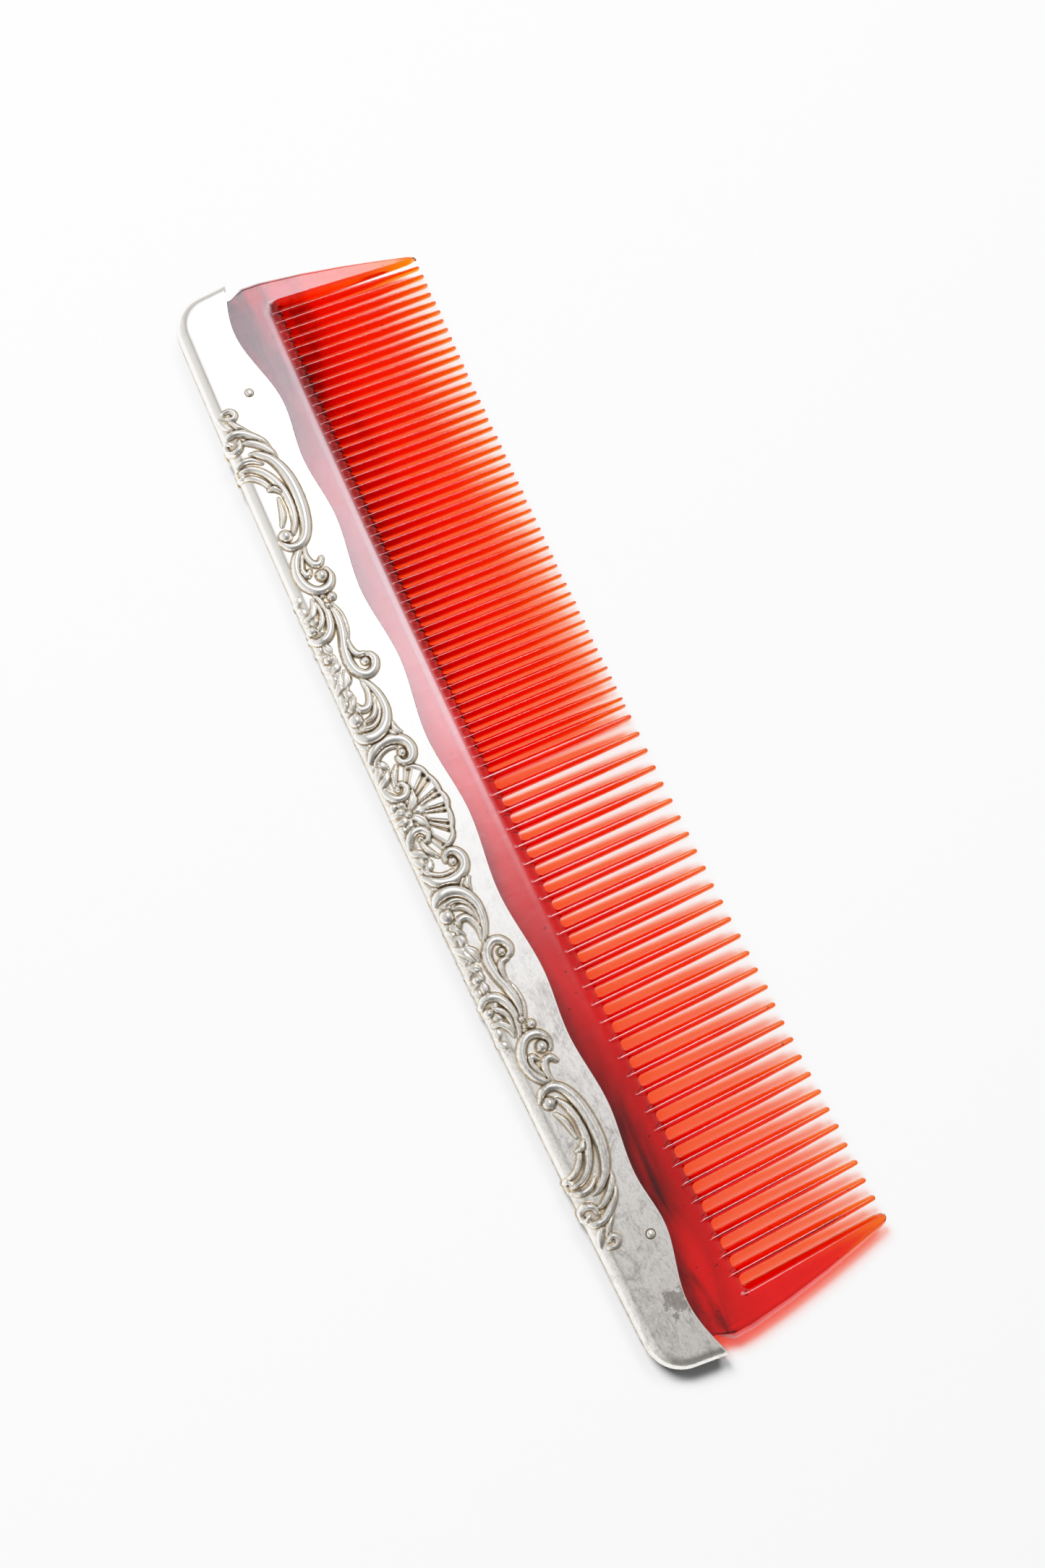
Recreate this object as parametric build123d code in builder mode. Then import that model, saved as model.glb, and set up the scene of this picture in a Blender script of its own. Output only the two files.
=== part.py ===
from build123d import *
import os

# Silver-mounted dresser comb, lying flat. +X runs along the comb to its coarse end, +Y to the
# tooth tips, +Z up. X = 0 and Y = 0 are the middle of its length and width, and Z = 0 is the
# surface that it lies on.

os.makedirs("parts", exist_ok=True)

# --- Driving dimensions, mm -----------------------------------------------------------------
comb_length = 188.8  # between the two points of the silver mount
comb_width = 44.6  # spine to guard tips
band_thickness = 3.8  # the celluloid at its back and at the roots of the teeth
sheet = 0.45  # silver sheet of the stamped shells
relief_height = 1.0  # stamped ornament above the flat of a shell
spine_bow = 1.65  # the comb is slightly bowed: its ends stand this much nearer the tooth side

# Silver mount
end_lean = 1.5  # each end of the mount leans out by this much from spine to point
corner_radius = 6.5  # spine corners, seen from above
roll_radius = 2.1  # rounded edge along the spine and the ends
solder_gap = 0.2  # thickness of the soldered seam between the two shells
block_depth = 15.0  # spine to the far side of the blank that the scalloped edge is cut from

# Comb
root_depth = 16.1  # spine to the roots of the teeth
back_depth = 3.3  # spine to the comb's back edge, hidden in the mount
back_half_length = 91.0
band_half_length = 92.9
tooth_length = 27.0
tooth_seat = 0.6  # the teeth are seated this deep in the band
guard_seat = 3.2
floor_bevel = 1.4  # the gap floors slope towards the middle plane over this length
fine_count, fine_first, fine_pitch, fine_width = 49, -86.1, 1.74, 1.2
coarse_count, coarse_first, coarse_pitch, coarse_width = 29, -0.55, 3.03, 1.6
fine_half_crest, coarse_half_crest = 0.13, 0.15  # flat along the middle of each tooth's faces
fine_tip_radius, coarse_tip_radius = 0.28, 0.43  # tooth tips, seen from above
side_tip_radius = 0.6  # tooth tips, seen from the side
neck_length = 2.6  # the band's ends slope in over this length to enter the mount

# Rivets: x, and depth from the spine at mid-length
fine_rivet = (-74.2, 8.15)
coarse_rivet = (73.2, 9.25)
rivet_radius = 0.5
rivet_head_radius = 0.68
rivet_head_height = 0.4

# Scalloped edge of the shells: the point at each end, with troughs and crests in turn between
# them. Each is x, and depth from the spine at mid-length.
scallops = [
    (-94.4, 12.6),
    (-84.3, 10.1), (-71.4, 12.65),
    (-60.9, 11.65), (-50.0, 12.5),
    (-36.5, 11.05), (-24.0, 12.1),
    (-10.5, 10.6), (3.0, 11.7),
    (17.0, 10.45), (31.0, 11.65),
    (41.0, 10.9), (53.5, 11.95),
    (65.0, 11.05), (73.0, 11.95),
    (83.5, 10.0),
    (94.4, 12.6),
]  # fmt: skip

# Outline of the ornament over one half: the crown of each scroll and the cusp after it
ornament_lobes = [
    ((9.6, 8.05), (12.6, 6.3)),  # scroll beside the shell
    ((18.0, 7.25), (22.6, 5.5)),  # flower scroll
    ((25.0, 8.7), (27.6, 6.2)),  # volute
    ((32.5, 6.6), (37.5, 6.6)),  # leaf tail
    ((41.0, 8.0), (46.3, 5.6)),  # volute with beads
    ((57.5, 9.3), (70.2, 4.6)),  # long feathered scroll
    ((71.8, 4.7), (72.6, 3.3)),  # end bud
]
shell_crown, shell_cusp = (0, 9.55), (7.0, 7.4)
ornament_foot = 2.3  # depth of the ornament's straight edge beside the rolled spine

# --- Worked out from the dimensions above -----------------------------------------------------
half_length = comb_length / 2
half_band = band_thickness / 2
half_mount = half_band + sheet
mid_z = relief_height + half_mount  # middle plane of the comb
shell_height = half_mount - solder_gap / 2
spine_y = -comb_width / 2
root_y = spine_y + root_depth
back_y = spine_y + back_depth
corner_x = half_length - end_lean
bore_height = 2 * half_mount + 1


def bowed(x, y):
    """The point at x on the line that crosses the comb's middle at y and follows its bow."""
    return (x, y + spine_bow * (x / half_length) ** 2)


def bowed_arc(half_width, y):
    """The same line as an arc, from one side to the other."""
    return ThreePointArc(bowed(-half_width, y), (0, y), bowed(half_width, y))


def at_depth(x, depth):
    """A point given by its x and its depth from the spine at mid-length."""
    return (x, spine_y + depth)


def cross_plane(y):
    """A plane square to the teeth, with its origin on the comb's middle plane."""
    return Plane(origin=(0, y, mid_z), x_dir=(1, 0, 0), z_dir=(0, -1, 0))


def hexagon(left, right, half_thick, left_bevel, right_bevel):
    """Cross-section of a tooth: widest on the middle plane, with a flat crest on each face."""
    return [
        (left, 0),
        (left + left_bevel, half_thick),
        (right - right_bevel, half_thick),
        (right, 0),
        (right - right_bevel, -half_thick),
        (left + left_bevel, -half_thick),
    ]


# --- Teeth --------------------------------------------------------------------------------------
# Stations along a tooth: distance from the root line, and half width or half thickness there
fine_plan = [(-tooth_seat, fine_width / 2), (18.0, 0.58), (tooth_length, 0.3)]
coarse_plan = [(-tooth_seat, coarse_width / 2), (18.0, 0.71), (tooth_length, 0.46)]
tooth_profile = [(-tooth_seat, half_band), (18.0, 1.25), (tooth_length, 0.75)]
profile_plane = Plane(origin=(0, 0, mid_z), x_dir=(0, 0, 1), z_dir=(-1, 0, 0))


def both_sides(stations):
    """Closed outline that is symmetric about y, from stations of (y, half width)."""
    return [(half, y) for y, half in stations] + [(-half, y) for y, half in reversed(stations)]


def tooth(width, half_crest, stations, tip_radius):
    """One tooth, rooted at the origin: tapered in plan and from the side, with bevelled flanks."""
    half_width, bevel = width / 2, width / 2 - half_crest
    with BuildPart() as one_tooth:
        with BuildSketch(Plane.XY.offset(mid_z)) as plan:
            Polygon(*both_sides(stations), align=None)
            fillet(plan.vertices().sort_by(Axis.Y)[-2:], tip_radius)
        extrude(amount=half_band, both=True)
        with BuildSketch(profile_plane) as profile:
            Polygon(*both_sides(tooth_profile), align=None)
            fillet(profile.vertices().sort_by(Axis.Y)[-2:], side_tip_radius)
        extrude(amount=width, both=True, mode=Mode.INTERSECT)
        with BuildSketch(cross_plane(-tooth_seat)):
            Polygon(*hexagon(-half_width, half_width, half_band, bevel, bevel), align=None)
        extrude(amount=-tooth_length - tooth_seat, mode=Mode.INTERSECT)
    return one_tooth.part


fine_tooth = tooth(fine_width, fine_half_crest, fine_plan, fine_tip_radius)
coarse_tooth = tooth(coarse_width, coarse_half_crest, coarse_plan, coarse_tip_radius)
fine_xs = [fine_first + i * fine_pitch for i in range(fine_count)]
coarse_xs = [coarse_first + i * coarse_pitch for i in range(coarse_count)]

with BuildPart() as fine_teeth:
    with Locations(*[bowed(x, root_y) for x in fine_xs]):
        add(fine_tooth)
fine_teeth.part.label = "fine_teeth"

with BuildPart() as coarse_teeth:
    with Locations(*[bowed(x, root_y) for x in coarse_xs]):
        add(coarse_tooth)
coarse_teeth.part.label = "coarse_teeth"

# --- Guards, the wide end teeth -------------------------------------------------------------------
# Stations: distance from the root line, how far the inner edge draws in, outer edge's x, half
# thickness. The inner and outer bevels keep their slopes as the guard thins.
guard_stations = [
    (-guard_seat, 0, band_half_length, half_band),
    (0, 0, band_half_length, half_band),
    (7.2, 0, 92.1, 1.68),
    (14.2, 0, 91.0, 1.44),
    (20.6, 0, 89.8, 1.2),
    (25.4, 0.05, 88.8, 0.95),
    (26.6, 0.3, 88.4, 0.7),
    (tooth_length, 0.7, 87.9, 0.35),
]
inner_bevel_slope, outer_bevel_slope = 0.52, 0.65
fine_guard_inner = fine_xs[0] - fine_pitch + fine_width / 2
coarse_guard_inner = coarse_xs[-1] + coarse_pitch - coarse_width / 2
guard_root_y = bowed(band_half_length - 2, root_y)[1]

with BuildPart() as fine_end_guard:
    for y, draw_in, outer, half_thick in guard_stations:
        with BuildSketch(cross_plane(guard_root_y + y)):
            Polygon(
                *hexagon(
                    -outer,
                    fine_guard_inner - draw_in,
                    half_thick,
                    outer_bevel_slope * half_thick,
                    inner_bevel_slope * half_thick,
                ),
                align=None,
            )
    loft(ruled=True)
fine_end_guard.part.label = "fine_end_guard"

with BuildPart() as coarse_end_guard:
    for y, draw_in, outer, half_thick in guard_stations:
        with BuildSketch(cross_plane(guard_root_y + y)):
            Polygon(
                *hexagon(
                    coarse_guard_inner + draw_in,
                    outer,
                    half_thick,
                    inner_bevel_slope * half_thick,
                    outer_bevel_slope * half_thick,
                ),
                align=None,
            )
    loft(ruled=True)
coarse_end_guard.part.label = "coarse_end_guard"

# --- Comb band ----------------------------------------------------------------------------------------
shoulder_y = guard_root_y - guard_seat
neck_y = shoulder_y - neck_length
ridge_length = coarse_guard_inner - fine_guard_inner - 2 * inner_bevel_slope * half_band

with BuildPart() as comb_body:
    # bevelled floors of the gaps: a ridge that runs from guard to guard
    with BuildSketch(Plane.XY.offset(mid_z)):
        with BuildLine():
            ridge_edge = bowed_arc(back_half_length, root_y + floor_bevel)
            Polyline(
                ridge_edge @ 1,
                bowed(back_half_length, back_y),
                bowed(-back_half_length, back_y),
                ridge_edge @ 0,
            )
        make_face()
    extrude(amount=half_band, both=True)
    tooth_side = comb_body.faces().sort_by(Axis.Y)[-1]
    chamfer(tooth_side.edges().filter_by(lambda e: e.length > comb_length / 2), floor_bevel)
    with BuildSketch(Plane.XY.offset(mid_z)):
        with Locations(((fine_guard_inner + coarse_guard_inner) / 2, 0)):
            Rectangle(ridge_length, comb_width)
    extrude(amount=half_band, both=True, mode=Mode.INTERSECT)
    # the band itself, narrowed where it enters the mount
    with BuildSketch(Plane.XY.offset(mid_z)):
        with BuildLine():
            root_edge = bowed_arc(band_half_length, root_y)
            back_edge = bowed_arc(back_half_length, back_y)
            for side, end in ((-1, 0), (1, 1)):
                shoulder, neck = (side * band_half_length, shoulder_y), (side * back_half_length, neck_y)
                Polyline(root_edge @ end, shoulder, neck, back_edge @ end)
        make_face()
    extrude(amount=half_band, both=True)
    for seated in (fine_teeth, coarse_teeth, fine_end_guard, coarse_end_guard):
        add(seated.part, mode=Mode.SUBTRACT)
    with BuildSketch(Plane.XY.offset(mid_z)):
        with Locations(at_depth(*fine_rivet), at_depth(*coarse_rivet)):
            Circle(rivet_radius)
    extrude(amount=bore_height / 2, both=True, mode=Mode.SUBTRACT)
comb_body.part.label = "comb_body"

# --- Silver shells ----------------------------------------------------------------------------------
with BuildSketch() as mount_plan:
    with BuildLine():
        spine = bowed_arc(corner_x, spine_y)
        lean = end_lean * (block_depth - spine_bow) / (scallops[0][1] - spine_bow)
        Polyline(
            spine @ 1,
            at_depth(corner_x + lean, block_depth),
            at_depth(-corner_x - lean, block_depth),
            spine @ 0,
        )
    make_face()
    fillet(mount_plan.vertices().sort_by(Axis.Y)[:2], corner_radius)

with BuildSketch() as open_side:
    with BuildLine():
        scalloped_edge = Spline(*[at_depth(*p) for p in scallops])
        beyond = half_length + 5
        Polyline(
            scalloped_edge @ 1,
            at_depth(beyond, scallops[-1][1]),
            (beyond, comb_width / 2),
            (-beyond, comb_width / 2),
            at_depth(-beyond, scallops[0][1]),
            scalloped_edge @ 0,
        )
    make_face()

with BuildSketch() as ornament_plan:
    with BuildLine():
        ThreePointArc(at_depth(-shell_cusp[0], shell_cusp[1]), at_depth(*shell_crown), at_depth(*shell_cusp))
        for side in (1, -1):
            cusp = shell_cusp
            for crown, next_cusp in ornament_lobes:
                ThreePointArc(*[at_depth(side * x, depth) for x, depth in (cusp, crown, next_cusp)])
                cusp = next_cusp
        foot = ornament_lobes[-1][1]
        ThreePointArc(at_depth(-foot[0], foot[1]), at_depth(0, ornament_foot), at_depth(*foot))
    make_face()

with BuildPart() as front_shell:
    with BuildSketch(Plane.XY.offset(mid_z + solder_gap / 2)):
        add(mount_plan.sketch)
    extrude(amount=shell_height)
    rim = front_shell.faces().sort_by(Axis.Z)[-1].edges().sort_by(Axis.Y)[:-1]
    fillet(rim, roll_radius)
    inside = front_shell.faces().sort_by(Axis.Z)[0]
    mouth = front_shell.faces().sort_by(Axis.Y)[-1]
    offset(amount=-sheet, openings=[inside, mouth])
    with BuildSketch(Plane.XY.offset(mid_z)):
        add(open_side.sketch)
    extrude(amount=half_mount, mode=Mode.SUBTRACT)
    with BuildSketch(Plane.XY.offset(mid_z + half_mount)):
        add(ornament_plan.sketch)
    extrude(amount=relief_height)
    with BuildSketch(Plane.XY.offset(mid_z)):
        with Locations(at_depth(*fine_rivet), at_depth(*coarse_rivet)):
            Circle(rivet_radius)
    extrude(amount=bore_height / 2, mode=Mode.SUBTRACT)
front_shell.part.label = "front_shell"

with BuildPart() as back_shell:
    mirror(front_shell.part, about=Plane.XY.offset(mid_z))
back_shell.part.label = "back_shell"

with BuildPart() as solder_seam:
    with BuildSketch(Plane.XY.offset(mid_z)):
        add(mount_plan.sketch)
        offset(amount=-sheet, mode=Mode.SUBTRACT)
        add(open_side.sketch, mode=Mode.SUBTRACT)
    extrude(amount=solder_gap / 2, both=True)
solder_seam.part.label = "solder_seam"

# --- Filler in the hollow behind the comb -----------------------------------------------------------
with BuildPart() as spine_filler:
    with BuildSketch(Plane.XY.offset(mid_z)):
        add(mount_plan.sketch)
        offset(amount=-sheet, mode=Mode.REPLACE)
    extrude(amount=half_band, both=True)
    by_height = spine_filler.faces().sort_by(Axis.Z)
    rims = by_height[-1].edges().sort_by(Axis.Y)[:-1] + by_height[0].edges().sort_by(Axis.Y)[:-1]
    fillet(rims, roll_radius - sheet)
    with BuildSketch(Plane.XY.offset(mid_z)):
        with BuildLine():
            back_line = bowed_arc(comb_length, back_y)
            Polyline(
                back_line @ 1,
                (comb_length, comb_width),
                (-comb_length, comb_width),
                back_line @ 0,
            )
        make_face()
    extrude(amount=half_mount, both=True, mode=Mode.SUBTRACT)
spine_filler.part.label = "spine_filler"


# --- Rivets -------------------------------------------------------------------------------------------
head_top = half_mount + rivet_head_height
head_sphere = (rivet_head_radius**2 + rivet_head_height**2) / (2 * rivet_head_height)

with BuildPart() as rivet:
    with BuildSketch(Plane.XZ):
        with BuildLine():
            RadiusArc((0, head_top), (rivet_head_radius, half_mount), head_sphere)
            Polyline(
                (rivet_head_radius, half_mount),
                (rivet_radius, half_mount),
                (rivet_radius, -half_mount),
                (rivet_head_radius, -half_mount),
            )
            RadiusArc((rivet_head_radius, -half_mount), (0, -head_top), head_sphere)
            Line((0, -head_top), (0, head_top))
        make_face()
    revolve(axis=Axis.Z)

with BuildPart() as fine_end_rivet:
    with Locations((*at_depth(*fine_rivet), mid_z)):
        add(rivet.part)
fine_end_rivet.part.label = "fine_end_rivet"

with BuildPart() as coarse_end_rivet:
    with Locations((*at_depth(*coarse_rivet), mid_z)):
        add(rivet.part)
coarse_end_rivet.part.label = "coarse_end_rivet"

for built in (
    front_shell,
    back_shell,
    solder_seam,
    spine_filler,
    fine_end_rivet,
    coarse_end_rivet,
    comb_body,
    fine_teeth,
    coarse_teeth,
    fine_end_guard,
    coarse_end_guard,
):
    export_step(built.part, f"parts/{built.part.label}.step")
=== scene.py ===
import math

import bpy
import numpy as np
from mathutils import Matrix, Vector


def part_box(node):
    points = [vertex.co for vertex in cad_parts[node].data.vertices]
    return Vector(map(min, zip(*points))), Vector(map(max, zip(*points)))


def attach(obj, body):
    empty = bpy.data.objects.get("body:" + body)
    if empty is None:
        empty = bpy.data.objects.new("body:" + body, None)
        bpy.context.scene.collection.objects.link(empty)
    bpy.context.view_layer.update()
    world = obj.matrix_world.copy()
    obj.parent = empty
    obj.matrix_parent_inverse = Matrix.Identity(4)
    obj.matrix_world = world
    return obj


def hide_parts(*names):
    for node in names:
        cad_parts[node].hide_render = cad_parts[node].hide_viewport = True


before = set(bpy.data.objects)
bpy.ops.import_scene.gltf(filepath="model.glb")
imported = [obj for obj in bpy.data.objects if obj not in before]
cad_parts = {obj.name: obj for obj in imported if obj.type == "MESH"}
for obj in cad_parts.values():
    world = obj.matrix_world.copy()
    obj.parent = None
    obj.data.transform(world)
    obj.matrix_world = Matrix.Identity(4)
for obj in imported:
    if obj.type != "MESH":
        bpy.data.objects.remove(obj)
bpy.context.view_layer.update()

# Dresser comb: a translucent comb moulding in a die-stamped silver mount. Shapes are worked out in
# millimetres in the CAD frame and made in metres. s is the distance along a tooth from the roots,
# and depth is the distance from the spine of the mount at mid-length.

scene = bpy.context.scene
MM = 0.001
rng = np.random.default_rng(41)


def cad(node):
    """Lowest and highest corner of a CAD node, mm."""
    low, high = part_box(node)
    return np.array(low) / MM, np.array(high) / MM


# --- Sizes, from the frame where it has them --------------
shell_low, shell_high = cad("front_shell")
body_low, body_high = cad("comb_body")
fine_low, _ = cad("fine_teeth")
coarse_low, _ = cad("coarse_teeth")

half_length = shell_high[0]
spine_y = shell_low[1]
mid_z = (body_low[2] + body_high[2]) / 2
half_band = (body_high[2] - body_low[2]) / 2
sheet = 0.45  # thickness of the silver
half_mount = half_band + sheet
relief_height = shell_high[2] - mid_z - half_mount
bow = 1.65  # how far the bow moves the ends towards the tooth side
root_depth = 16.1
root_y = spine_y + root_depth
back_s = body_low[1] - root_y
tooth_length = 27.0


def bowed(x):
    """How far the bow of the comb moves a point at x towards the tooth side."""
    return bow * (x / half_length) ** 2


def smooth(t):
    t = np.clip(t, 0, 1)
    return t * t * (3 - 2 * t)


def lerp(a, b, t):
    return a + (b - a) * t


# --- Mesh helpers -----------------------------------------
def add_object(name, data):
    obj = bpy.data.objects.new(name, data)
    scene.collection.objects.link(obj)
    return obj


def grid_quads(index):
    """The corners of every cell of a grid of point numbers."""
    return np.stack([index[:-1, :-1], index[:-1, 1:], index[1:, 1:], index[1:, :-1]], -1).reshape(-1, 4)


class Patches:
    """Grids of points, mm, that are welded into one mesh."""

    weld = 2e-4  # points that share a cell of this size become one
    off_grid = 0.37  # moves the cell walls away from round numbers

    def __init__(self):
        self.points, self.quads, self.caps, self.count = [], [], [], 0

    def grid(self, p, flip=False):
        p = np.asarray(p, float)
        rows, cols = p.shape[:2]
        index = self.count + np.arange(rows * cols).reshape(rows, cols)
        quads = grid_quads(index)
        self.quads.append(quads[:, ::-1] if flip else quads)
        self.points.append(p.reshape(-1, 3))
        self.count += rows * cols

    def cap(self, p, flip=False):
        """One face through a closed line of points."""
        index = self.count + np.arange(len(p))
        self.caps.append(index[::-1] if flip else index)
        self.points.append(np.asarray(p, float))
        self.count += len(p)

    def both_faces(self, p):
        """The grid, whose z is from the middle plane, and its mirror image below."""
        below = np.array(p, float)
        below[..., 2] *= -1
        self.grid(p)
        self.grid(below, flip=True)

    def make(self, name, lift=0.0, values=None):
        points, quads = np.concatenate(self.points), np.concatenate(self.quads)
        keys = np.floor(points / self.weld + self.off_grid).astype(np.int64)
        _, first, inverse = np.unique(keys, axis=0, return_index=True, return_inverse=True)
        inverse = inverse.ravel()
        points = points[first]
        faces = []
        for q in inverse[quads].tolist() + [inverse[c].tolist() for c in self.caps]:
            f = [a for a, b in zip(q, q[1:] + q[:1]) if a != b]
            if len(set(f)) == len(f) and len(f) > 2:
                faces.append(f)
        mesh = bpy.data.meshes.new(name)
        mesh.from_pydata(((points + (0, 0, lift)) * MM).tolist(), [], faces)
        for key, v in (values or {}).items():
            attribute = mesh.attributes.new(key, "FLOAT", "POINT")
            attribute.data.foreach_set("value", np.concatenate(v)[first].astype(np.float32))
        mesh.validate()
        mesh.polygons.foreach_set("use_smooth", [True] * len(mesh.polygons))
        mesh.update()
        return add_object(name, mesh)


# --- Comb -------------------------------------------------
flank_rows = np.array([0, 0.3, 0.58, 0.8, 0.93, 1])  # share of the height up to the crest
flank_power = 1.8
flank_lean = flank_rows**flank_power  # share of the way in from the side to the crest at that height
run_out_power = 8.0  # the band runs out gently between the teeth and then drops steeply
crest_columns = np.array([-1, -0.86, -0.6, 0, 0.6, 0.86, 1])
crest_fall = 0.34 * crest_columns**2 + 0.66 * crest_columns**12  # gently domed, then round at the sides
head_length = 2.1  # the gap heads reach this far out from the roots
floor_reach = 1.4  # where a gap starts on the middle plane
slope_length, slope_drop = 0.7, 0.1  # the band slopes down where the teeth begin
tuck_s, shoulder_s = -5.8, -3.2  # the band's ends widen between these, as they leave the mount
# where the rows of points lie along s
band_rows = np.array([back_s, -8, tuck_s, -4.5, shoulder_s, -1.6, -slope_length, -slope_length / 2])
head_rows = np.array([0, 0.1, 0.25, 0.45, 0.7, 1.0, 1.35, 1.7, head_length])
tooth_rows = np.array([head_length, 3.2, 5, 7.5, 10, 12.5, 15, 17, 18.5, 20, 21.5, 23, 24.3, 25.3])
guard_rows = np.array([3.2, 5, 7.2, 10, 14.2, 17.5, 20.6, 23, 25.4, 26.1, 26.6, 26.85, tooth_length])
tip_rows = np.array([0, 0.22, 0.42, 0.6, 0.75, 0.87, 0.95, 1])  # share of a tooth's tip


class Tooth:
    taper_s = 18.0  # a tooth narrows and thins faster beyond here
    taper_half_thick, tip_half_thick = 1.25, 0.75
    tip_length = 0.62
    tip_round, tip_fall = 0.6, 0.8  # how far from its end a tip rounds off, and by what share
    own_width_s = 5.0  # each tooth has its own width from here on
    crest_growth, first_crest = 0.5, 0.04  # the crest starts this narrow and widens over this length

    def __init__(self, x, half_width, taper_half_width, tip_half_width, crest_half_width, tip_radius):
        self.x, self.crest_half_width, self.tip_radius = x, crest_half_width, tip_radius
        self.widths = (half_width, taper_half_width, tip_half_width)
        self.length = tooth_length + rng.normal(0, 0.07)
        self.bend = rng.normal(0, 0.035)
        self.thin = 1 + rng.normal(0, 0.025)

    def rows(self):
        start = self.length - self.tip_length
        return np.concatenate([tooth_rows, start + self.tip_length * tip_rows])

    def centre(self, s):
        return self.x + self.bend * (np.clip(s, 0, None) / tooth_length) ** 2

    def half_width(self, s):
        w = np.interp(s, [0, self.taper_s, tooth_length], self.widths)
        w = w * lerp(1, self.thin, smooth(s / self.own_width_s))
        u = np.clip((s - (self.length - self.tip_radius)) / self.tip_radius, 0, 1)
        return w * np.sqrt(np.clip(1 - u**2, 0, 1))

    def half_thick(self, s):
        heights = [half_band - slope_drop, self.taper_half_thick, self.tip_half_thick]
        h = np.interp(s, [0, self.taper_s, tooth_length], heights)
        u = np.clip((s - (self.length - self.tip_round)) / self.tip_round, 0, 1)
        return h * (1 - self.tip_fall * (1 - np.sqrt(np.clip(1 - u**2, 0, 1))))

    def crest(self, s):
        """Half width of the rounded crest, and how far it falls to its sides."""
        grown = smooth(s / self.crest_growth)
        half = np.minimum(self.crest_half_width, 0.6 * self.half_width(s))
        width = np.minimum(lerp(self.first_crest, half, grown), 0.8 * self.half_width(s))
        return width, 0.5 * half * grown

    def edge(self, s, side):
        return self.centre(s) + side * self.half_width(s)

    def rim(self, s, side):
        c, fall = self.crest(s)
        return self.centre(s) + side * c, self.half_thick(s) - fall


class Guard:
    """A wide end tooth. side is -1 at the fine end and 1 at the coarse end."""

    stations = [0, 7.2, 14.2, 20.6, 25.4, 26.6, tooth_length]
    half_thicks = [half_band, 1.68, 1.44, 1.2, 0.95, 0.7, 0.35]
    draw_in = [0, 0, 0, 0, 0.05, 0.3, 0.7]  # of the inner side
    outer = [92.9, 92.1, 91.0, 89.8, 88.8, 88.4, 87.9]
    tucked = 91.0  # outer edge inside the mount
    inner_bevel, outer_bevel = 0.52, 0.65  # width of the rounded sides, as a share of the half thickness
    bevel_growth = 3.0

    def __init__(self, side, inner):
        self.side, self.inner = side, abs(inner)

    def half_thick(self, s):
        return np.interp(s, self.stations, self.half_thicks)

    def edge(self, s, _=0):
        return self.side * (self.inner + np.interp(s, self.stations, self.draw_in))

    def rim(self, s, _=0):
        h = self.half_thick(s)
        return self.edge(s) + self.side * self.inner_bevel * h, h

    def outer_edge(self, s):
        outline = [self.tucked, self.outer[0], *self.outer]
        return self.side * np.interp(s, [tuck_s, shoulder_s, *self.stations], outline)

    def outer_rim(self, s):
        grown = lerp(0.25, 1, smooth((s - tuck_s) / self.bevel_growth))
        return self.outer_edge(s) - self.side * (self.outer_bevel * self.half_thick(s) * grown)


def place(x, s, z):
    """Points from x, distance along a tooth and height from the middle plane."""
    x, s, z = np.broadcast_arrays(x, s, z)
    return np.stack([x, root_y + s + bowed(x), z], -1)


fine_pitch, fine_half, fine_count = 1.74, 0.6, 49
coarse_pitch, coarse_half, coarse_count = 3.03, 0.8, 29
fine_teeth = [
    Tooth(x, fine_half, taper_half_width=0.58, tip_half_width=0.3, crest_half_width=0.105,
          tip_radius=0.28)
    for x in fine_low[0] + fine_half + fine_pitch * np.arange(fine_count)
]
coarse_teeth = [
    Tooth(x, coarse_half, taper_half_width=0.71, tip_half_width=0.46, crest_half_width=0.31,
          tip_radius=0.43)
    for x in coarse_low[0] + coarse_half + coarse_pitch * np.arange(coarse_count)
]
teeth = fine_teeth + coarse_teeth
fine_teeth[-2].bend, fine_teeth[-3].bend = 0.42, 0.1  # one fine tooth leans on its neighbour
fine_guard = Guard(-1, teeth[0].x - fine_pitch + fine_half)
coarse_guard = Guard(1, teeth[-1].x + coarse_pitch - coarse_half)


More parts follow.
